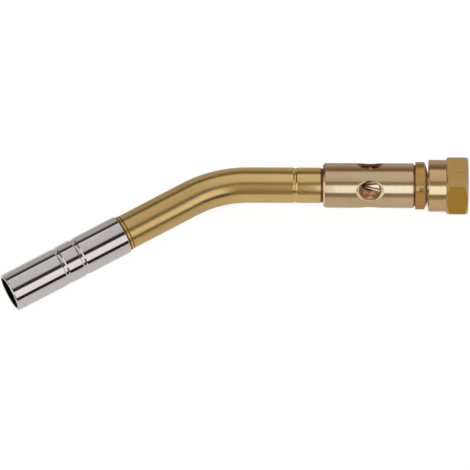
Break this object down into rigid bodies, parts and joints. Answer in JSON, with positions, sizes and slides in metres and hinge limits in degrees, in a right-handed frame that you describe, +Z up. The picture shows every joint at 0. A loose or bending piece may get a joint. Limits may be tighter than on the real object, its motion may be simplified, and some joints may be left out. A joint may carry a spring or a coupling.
{
  "type": "air-fuel torch tip",
  "caption": "Bent gas torch burner tip: plated flame tube, brass neck, vented air body with gas jet inside, and a loose union nut at the inlet.",
  "frame": {"origin": "on the axis of the gas inlet, where the union nut's full thread begins, 0.8 mm inside the nut's outer face", "axes": "+X out of the gas inlet along the straight axis, +Z up with a flat of the nut down, and the neck bends towards -Y"},
  "size_m": [0.1833, 0.0657, 0.022],
  "materials": {
    "plated_steel": "bright plated",
    "dark_steel": "heat-darkened",
    "satin_brass": "satin, drawn tube",
    "turned_brass": "bright turned",
    "milled_brass": "milled flats",
    "copper_washer": "soft copper",
    "bronze_filter": "sintered",
    "seal_rubber": "matt"
  },
  "bodies": {
    "torch": {"flame_tube": "plated_steel", "swirl_vanes": "dark_steel", "neck_ferrule": "satin_brass", "neck_tube": "satin_brass", "venturi": "turned_brass", "air_body": "turned_brass", "jet": "turned_brass", "jet_washer": "copper_washer", "body_washer": "copper_washer", "injector_hex": "milled_brass", "lock_pin": "dark_steel", "tail_nipple": "milled_brass", "inlet_filter": "bronze_filter", "filter_clip": "dark_steel", "seat_o_ring": "seal_rubber"},
    "slip_washer": {"slip_washer": "turned_brass"},
    "nut": {"coupling_nut": "milled_brass"}
  },
  "joints": [
    {"name": "nut_slide", "type": "slide", "parent": "torch", "child": "slip_washer", "axis": [1, 0, 0], "range_m": [0, 0.0024]},
    {"name": "nut_spin", "type": "hinge", "parent": "slip_washer", "child": "nut", "pos_m": [0, 0, 0], "axis": [1, 0, 0], "continuous": true}
  ]
}
